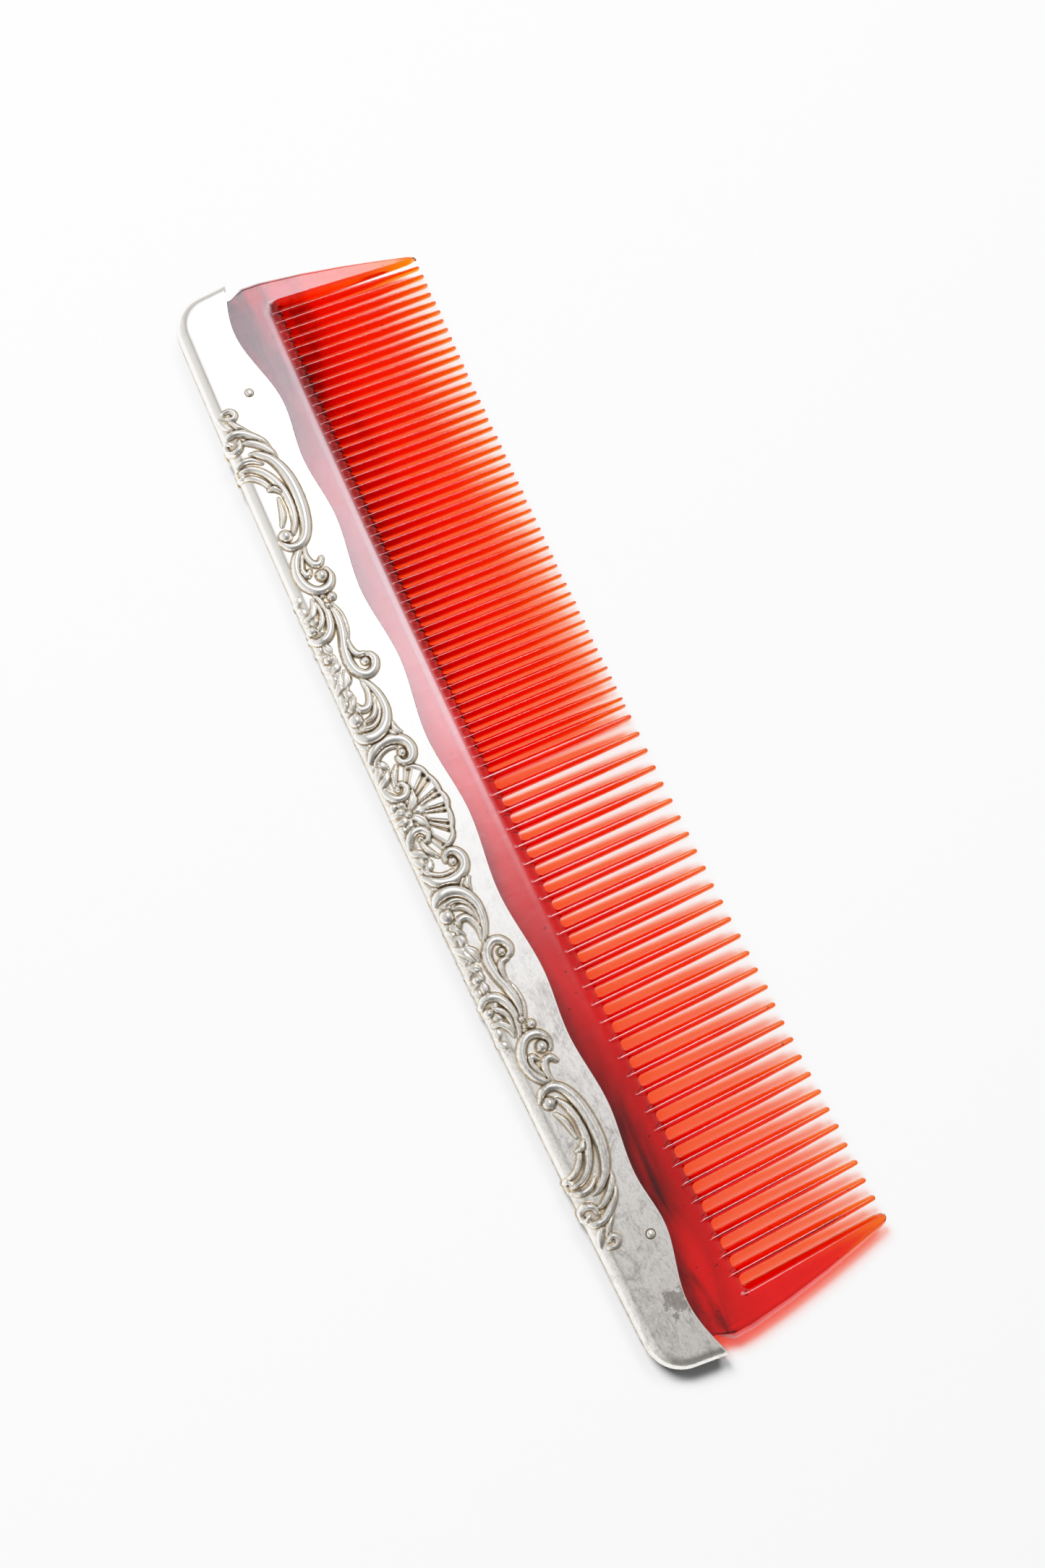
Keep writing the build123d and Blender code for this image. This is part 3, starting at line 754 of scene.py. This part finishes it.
def build_rivet(name, node):
    """A domed head on each face, on one shank through the mount."""
    low, high = cad(node)
    centre, radius = (low + high) / 2, (high[0] - low[0]) / 2
    shank, sunk = 0.6 * radius, half_mount - 0.1
    rise = max(high[2] - mid_z - half_mount, 0.25)
    bend = np.linspace(0, math.pi / 2, 9)
    r = np.concatenate([radius * np.sin(bend), [radius, shank, shank]])
    z = np.concatenate([half_mount + rise * np.cos(bend), [sunk, sunk, 0.0]])
    turn = np.linspace(2 * math.pi, 0, 33)
    x, y = centre[0] + r[:, None] * np.cos(turn), centre[1] + r[:, None] * np.sin(turn)
    made = Patches()
    made.both_faces(np.stack(np.broadcast_arrays(x, y, z[:, None]), -1))
    obj = made.make(name, mid_z)
    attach(obj, "root")
    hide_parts(node)
    return obj


rivets = [build_rivet(f"{end}_end_domed_rivet", f"{end}_end_rivet") for end in ("fine", "coarse")]


# --- Materials --------------------------------------------
class Nodes:
    """Short ways to add shader nodes and to wire them."""

    def __init__(self, tree):
        self.tree = tree

    def add(self, kind, inputs=None, **settings):
        node = self.tree.nodes.new(kind)
        for key, value in settings.items():
            setattr(node, key, value)
        for key, value in (inputs or {}).items():
            if isinstance(value, bpy.types.NodeSocket):
                self.tree.links.new(value, node.inputs[key])
            else:
                node.inputs[key].default_value = value
        return node

    def coordinates(self, scale, turn=0.0):
        where = self.add("ShaderNodeTexCoord").outputs["Object"]
        inputs = {"Vector": where, "Scale": scale, "Rotation": (0, 0, turn)}
        return self.add("ShaderNodeMapping", inputs).outputs[0]

    def noise(self, vector, scale, detail=3.0, roughness=0.5, distortion=0.0):
        inputs = {"Vector": vector, "Scale": scale, "Detail": detail, "Roughness": roughness,
                  "Distortion": distortion}
        return self.add("ShaderNodeTexNoise", inputs).outputs["Fac"]

    def band(self, value, low, high, to_low=0.0, to_high=1.0):
        """value, mapped smoothly from low..high to to_low..to_high."""
        inputs = {"Value": value, "From Min": low, "From Max": high, "To Min": to_low, "To Max": to_high}
        return self.add("ShaderNodeMapRange", inputs, interpolation_type="SMOOTHSTEP").outputs[0]

    def math(self, operation, a, b=0.0):
        return self.add("ShaderNodeMath", {0: a, 1: b}, operation=operation).outputs[0]

    def plus(self, a, b):
        return self.math("ADD", a, b)

    def times(self, a, b):
        return self.math("MULTIPLY", a, b)

    def parts(self, vector):
        """The x, y and z of a vector."""
        return self.add("ShaderNodeSeparateXYZ", {0: vector}).outputs

    def mix(self, factor, a, b, blend="MIX"):
        node = self.add("ShaderNodeMix", data_type="RGBA", blend_type=blend)
        for socket, value in ((node.inputs[0], factor), (node.inputs[6], a), (node.inputs[7], b)):
            if isinstance(value, bpy.types.NodeSocket):
                self.tree.links.new(value, socket)
            else:
                socket.default_value = value
        return node.outputs[2]

    def attribute(self, name):
        return self.add("ShaderNodeAttribute", attribute_name=name).outputs["Fac"]

    def bump(self, height, strength, distance):
        inputs = {"Height": height, "Strength": strength, "Distance": distance}
        return self.add("ShaderNodeBump", inputs).outputs[0]

    def principled(self, inputs):
        return self.add("ShaderNodeBsdfPrincipled", inputs).outputs[0]

    def output(self, surface, **more):
        self.add("ShaderNodeOutputMaterial", {"Surface": surface, **more})


def material(name):
    made = bpy.data.materials.new(name)
    made.use_nodes = True
    tree = made.node_tree
    tree.nodes.clear()
    return made, Nodes(tree)


def celluloid():
    smoke, streak_brown = (0.09, 0.004, 0.016, 1), (0.03, 0.012, 0.01, 1)
    speck_brown = (0.05, 0.01, 0.005, 1)
    lamplight, dim_lamplight = (0.96, 0.345, 0.09, 1), (0.4, 0.12, 0.06, 1)
    absorbed = {"Color": (0.98, 0.82, 0.0, 1), "Density": 2000.0}
    made, n = material("translucent_celluloid")
    where = n.coordinates((1, 1, 1))
    x, y, _ = n.parts(where)
    # red in the thick band, orange where the teeth thin out
    along = n.plus(y, n.band(n.noise(where, 35, 2.0), 0.3, 0.7, -0.0015, 0.0015))
    ramp = n.add("ShaderNodeValToRGB", {0: n.band(along, -0.009, 0.021)})
    stops = ((0.0, (0.78, 0.016, 0.02, 1)), (0.2, (0.9, 0.026, 0.02, 1)), (0.45, (0.95, 0.07, 0.015, 1)),
             (0.8, (0.98, 0.13, 0.012, 1)), (1.0, (1.0, 0.3, 0.015, 1)))
    for place_at, colour in stops[2:]:
        ramp.color_ramp.elements.new(place_at)
    for element, (place_at, colour) in zip(ramp.color_ramp.elements, stops):
        element.position, element.color = place_at, colour
    # smoky from the middle of the comb towards the fine end, with brown-black streaks at its corner
    smoky = n.times(n.band(x, 0.012, -0.04), n.band(y, 0.006, -0.0075))
    streaks = n.noise(n.coordinates((45, 190, 60), 0.25), 1.0, 4.0, 0.55, 0.8)
    at_fine_end = n.times(n.band(x, -0.05, -0.091, 0.1, 1.0), n.band(y, 0.006, -0.004))
    at_coarse_end = n.times(n.band(x, 0.03, 0.075), n.band(y, -0.0055, -0.009, 0.04, 0.85))
    ends = n.plus(at_fine_end, at_coarse_end)
    mottled = n.times(n.band(streaks, 0.47, 0.66), ends)
    cloudy = n.band(n.noise(where, 60, 3.0), 0.3, 0.75, 1.0, 0.82)
    cloud = n.add("ShaderNodeCombineColor", {0: cloudy, 1: cloudy, 2: cloudy}).outputs[0]
    tint = n.mix(1.0, ramp.outputs[0], cloud, "MULTIPLY")
    tint = n.mix(n.times(smoky, 0.62), tint, smoke)
    tint = n.mix(mottled, tint, streak_brown)
    specks = n.band(n.noise(n.coordinates((1700, 1200, 1700), 0.4), 1.0, 0.0), 0.82, 0.85, 0.0, 0.8)
    tint = n.mix(specks, tint, speck_brown)
    wear = n.noise(n.coordinates((900, 120, 300), 0.5), 1.0, 4.0, 0.6)
    rough = n.band(wear, 0.35, 0.8, 0.05, 0.16)
    height = n.plus(n.noise(where, 240, 2.0), n.times(wear, 0.35))
    shine = n.principled({"Base Color": tint, "Roughness": rough, "IOR": 1.5, "Transmission Weight": 1.0,
                          "Normal": n.bump(height, 0.06, 0.0003)})
    # the light that it lets through to the floor is tinted too
    light_tint = n.mix(n.math("MAXIMUM", mottled, specks), lamplight, dim_lamplight)
    clear = n.add("ShaderNodeBsdfTransparent", {"Color": light_tint})
    to_lamp = n.add("ShaderNodeLightPath").outputs["Is Shadow Ray"]
    both = n.add("ShaderNodeMixShader", {0: to_lamp, 1: shine, 2: clear.outputs[0]})
    n.output(both.outputs[0], Volume=n.add("ShaderNodeVolumeAbsorption", absorbed).outputs[0])
    return made


def silver(name, worn=1.0, ringed=True):
    """Silver that is tarnished as far as worn says, with a dark ring round each rivet if ringed."""
    polished, creamy, bare_and_highlit = (0.96, 0.925, 0.865, 1), (0.915, 0.87, 0.8, 1), (0.97, 0.94, 0.9, 1)
    grey, spot_brown = (0.36, 0.335, 0.315, 1), (0.24, 0.2, 0.16, 1)
    toned, black = (0.6, 0.495, 0.36, 1), (0.085, 0.062, 0.042, 1)
    made, n = material(name)
    where = n.coordinates((1, 1, 1))
    lengthwise, _, _ = n.parts(where)
    shade_and_tarnish = n.attribute("shade_and_tarnish")
    # fine scratches along the comb, with a few that cross them
    brushed = n.noise(n.coordinates((140, 2200, 400), 0.02), 1.0, 4.0, 0.6)
    crossed = n.noise(n.coordinates((110, 3200, 300), 0.9), 1.0, 3.0, 0.55)
    along = n.noise(n.coordinates((80, 3000, 300), -0.12), 1.0, 3.0, 0.55)
    scratches = n.math("MAXIMUM", n.band(crossed, 0.65, 0.7), n.band(along, 0.66, 0.71))
    cloud = n.noise(where, 110, 4.0, 0.6, 0.4)
    blotches = n.noise(n.coordinates((150, 260, 200), -0.3), 1.0, 6.0, 0.75, 1.2)
    grain = n.noise(n.coordinates((1500, 2600, 1500), 0.1), 1.0, 5.0, 0.7)
    # tarnish, more of it towards the coarse end; tarnish with painted shade in the recesses of the
    # ornament, and painted shade towards the seam
    neglected = n.band(lengthwise, -0.025, 0.06, 0.1 * worn, 0.92 * worn)
    stain = n.plus(n.band(blotches, 0.44, 0.7, 0.0, 0.75), n.band(grain, 0.35, 0.7, -0.12, 0.4))
    stain = n.times(stain, neglected)
    dark = n.times(shade_and_tarnish, n.band(n.noise(where, 900, 2.0), 0.25, 0.6, 0.85, 1.15))
    colour = n.mix(stain, n.mix(cloud, polished, creamy), grey)
    colour = n.mix(n.times(scratches, 0.45), colour, bare_and_highlit)
    # one tarnish spot near the coarse end
    flat = n.coordinates((1, 1, 0))
    spot_x, spot_y = 0.0838, -0.0138

    def away_from(x, y):
        inputs = {0: flat, 1: (x, y, 0.0)}
        return n.add("ShaderNodeVectorMath", inputs, operation="DISTANCE").outputs["Value"]

    ragged = n.noise(where, 700, 4.0, 0.65)
    spot = n.plus(away_from(spot_x, spot_y), n.band(ragged, 0.3, 0.7, -0.0012, 0.0012))
    colour = n.mix(n.times(n.band(spot, 0.0022, 0.0014), 0.6), colour, spot_brown)
    # painted highlight along the scalloped edge
    colour = n.mix(n.times(n.attribute("edge_highlight"), 0.75), colour, bare_and_highlit)
    for rivet in ("fine_end_rivet", "coarse_end_rivet") if ringed else ():
        low, high = cad(rivet)
        x, y = (low[:2] + high[:2]) / 2 * MM
        radius = (high[0] - low[0]) / 2 * MM
        dark = n.math("MAXIMUM", dark, n.band(away_from(x, y), radius + 0.0003, radius, 0.0, 0.75))
    # tarnish and painted shade in the recesses and towards the seam, and dark rings round the rivets
    colour = n.mix(n.band(dark, 0.05, 0.45), colour, toned)
    colour = n.mix(n.band(dark, 0.38, 0.74), colour, black)
    rough = n.plus(n.band(brushed, 0.3, 0.75, 0.13, 0.26), n.band(dark, 0.1, 0.8, 0.0, 0.25))
    rough = n.plus(rough, n.times(stain, 0.12))
    height = n.plus(brushed, n.times(scratches, -0.6))
    n.output(n.principled({"Base Color": colour, "Metallic": 1.0, "Roughness": rough,
                           "Normal": n.bump(height, 0.1 * worn, 0.0001)}))
    return made


def floor_material():
    made, n = material("pale_floor")
    where = n.coordinates((1, 1, 1))
    specks = n.band(n.noise(where, 420, 1.0), 0.83, 0.86)
    tone = n.mix(n.noise(where, 3, 2.0), (0.86, 0.865, 0.87, 1), (0.88, 0.88, 0.88, 1))
    tone = n.mix(n.times(specks, 0.15), tone, (0.5, 0.5, 0.5, 1))
    rough = n.band(n.noise(where, 90), 0.3, 0.7, 0.75, 0.9)
    n.output(n.principled({"Base Color": tone, "Roughness": rough, "Specular IOR Level": 0.05}))
    return made


def pitch():
    """The dark setting material inside the roll."""
    made, n = material("setting_pitch")
    where = n.coordinates((1, 1, 1))
    colour = n.mix(n.noise(where, 300, 4.0), (0.035, 0.022, 0.016, 1), (0.1, 0.065, 0.045, 1))
    rough = n.band(n.noise(where, 700), 0.3, 0.7, 0.4, 0.8)
    lumpy = n.bump(n.noise(where, 900, 3.0), 0.5, 0.0002)
    n.output(n.principled({"Base Color": colour, "Roughness": rough, "Normal": lumpy}))
    return made


seam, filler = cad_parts["solder_seam"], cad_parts["spine_filler"]
for look, *pieces in (
    (celluloid(), comb),
    (silver("stamped_silver"), front, back),
    (silver("rivet_silver", 0.3, ringed=False), *rivets),
    (silver("solder_grey", 3.0), seam),
    (pitch(), filler),
):
    for piece in pieces:
        piece.data.materials.clear()
        piece.data.materials.append(look)


# --- Floor, light and camera ------------------------------
def sheet_object(name, half_width, half_height, cuts=1):
    share = np.linspace(-1, 1, cuts + 1)
    x, y = np.meshgrid(half_width * share, half_height * share)
    index = np.arange((cuts + 1) ** 2).reshape(cuts + 1, cuts + 1)
    mesh = bpy.data.meshes.new(name)
    mesh.from_pydata(np.stack([x, y, 0 * x], -1).reshape(-1, 3).tolist(), [], grid_quads(index).tolist())
    obj = add_object(name, mesh)
    return obj


floor = sheet_object("floor", 3.0, 3.0)
floor.location.z = -0.00005
floor.data.materials.append(floor_material())


def glowing(sheet, name, colour, shape, peak, seen_by=()):
    """A light sheet that shows only in reflections, in those of seen_by if it is given. It is brightest
    at (middle, 0), fades over a reach to each side of that, and lets through what is behind it."""
    middle, reach_below, reach_above, reach_across = shape
    made, n = material(name)
    x, y, _ = n.parts(n.coordinates((1, 1, 1)))
    x = n.math("SUBTRACT", x, middle)
    u = n.math("DIVIDE", x, n.band(x, -0.04, 0.04, reach_below, reach_above))
    v = n.math("DIVIDE", y, reach_across)
    far = n.plus(n.times(u, u), n.times(v, v))
    strength = n.times(n.math("EXPONENT", n.times(far, -0.5)), peak)
    glow = n.add("ShaderNodeEmission", {"Color": colour, "Strength": strength})
    clear = n.add("ShaderNodeBsdfTransparent")
    both = n.add("ShaderNodeAddShader", {0: glow.outputs[0], 1: clear.outputs[0]})
    n.output(both.outputs[0])
    made.cycles.emission_sampling = "NONE"
    sheet.data.materials.append(made)
    sheet.visible_diffuse = sheet.visible_shadow = sheet.visible_camera = False
    if seen_by:
        group = bpy.data.collections.new(name)
        for obj in seen_by:
            group.objects.link(obj)
        sheet.light_linking.receiver_collection = group


def lamp(name, location, size, power):
    """An area lamp that faces the comb. What it looks like in the silver is left to the sheets."""
    data = bpy.data.lights.new(name, "AREA")
    data.shape, data.size, data.size_y, data.energy = "RECTANGLE", *size, power
    data.cycles.use_multiple_importance_sampling = False
    obj = add_object(name, data)
    obj.location = location
    obj.rotation_euler = Vector(location).to_track_quat("Z", "Y").to_euler()
    obj.visible_glossy = obj.visible_transmission = False


metal = [front, back, *rivets, seam, filler]
softbox_x, softbox_y = -0.53, 0.36
for name, seen_by, height, shape, peak in (
    ("softbox_in_comb", [comb], 1.2, (0.2, 0.4, 0.14, 0.17), 15.5),
    ("softbox_in_silver", metal, 1.21, (0.08, 0.55, 0.32, 0.3), 1.65),
    ("softbox_core_in_silver", metal, 1.22, (0.04, 0.3, 0.12, 0.16), 2.5),
):
    softbox = sheet_object(name, 0.9, 0.6, 2)
    softbox.location = (softbox_x, softbox_y, height)
    softbox.rotation_euler = (math.pi, 0, 0)
    glowing(softbox, name, (0.98, 0.985, 1.06, 1), shape, peak, seen_by)

# white wall on the spine side
wall = sheet_object("side_wall", 1.1, 0.6, 2)
wall.location = (-0.1, -0.55, 0.6)
wall.rotation_euler = (math.pi / 2, 0, 0)
glowing(wall, "white_wall", (1, 1, 1, 1), (0.0, 1.2, 1.2, 0.9), 0.25)

lamp("main_lamp", (-0.75, -0.3, 1.05), (0.45, 0.45), 25.0)
lamp("softbox_lamp", (-0.6, softbox_y, 1.15), (0.45, 0.35), 7.8)
lamp("ceiling_lamp", (0, 0, 1.6), (3.2, 3.2), 10.0)


def studio_sky():
    """The dim studio round the comb, as reflections show it."""
    overhead, low_down, at_coarse_end = 0.5, 0.75, 0.4
    world = scene.world = bpy.data.worlds.new("studio")
    world.use_nodes = True
    world.node_tree.nodes.clear()
    world.cycles_visibility.diffuse = False
    n = Nodes(world.node_tree)
    x, _, z = n.parts(n.add("ShaderNodeTexCoord").outputs["Generated"])
    strength = n.times(n.band(z, 0.85, 0.1, overhead, low_down), n.band(x, 0.25, 0.85, 1.0, at_coarse_end))
    sky = n.add("ShaderNodeBackground", {"Color": (0.98, 0.99, 1.0, 1), "Strength": strength})
    n.add("ShaderNodeOutputWorld", {"Surface": sky.outputs[0]})


studio_sky()

camera_data = bpy.data.cameras.new("camera")
camera_data.sensor_width = 36
camera_data.lens = 36.47
camera_data.clip_start = 0.01
camera = add_object("camera", camera_data)
right, up = (0.4262, 0.8917, 0.1527), (-0.8944, 0.3900, 0.2191)
backward, eye = (0.1358, -0.2299, 0.9637), (0.0369, -0.0588, 0.2479)
camera.matrix_world = Matrix([(*right, 0), (*up, 0), (*backward, 0), (*eye, 1)]).transposed()
scene.camera = camera

tones = scene.view_settings
tones.view_transform = "Standard"
tones.use_curve_mapping = True
tones.curve_mapping.white_level = (2.0, 2.0, 2.0)
combined = tones.curve_mapping.curves[3]
for shade, shown in ((0.15, 0.3), (0.325, 0.65), (0.5, 0.87), (0.7, 0.965)):
    combined.points.new(shade, shown)
tones.curve_mapping.update()

cycles = scene.cycles
cycles.transparent_max_bounces = 32
cycles.max_bounces = 24
cycles.glossy_bounces = 12
cycles.transmission_bounces = 24
cycles.caustics_refractive = cycles.caustics_reflective = False
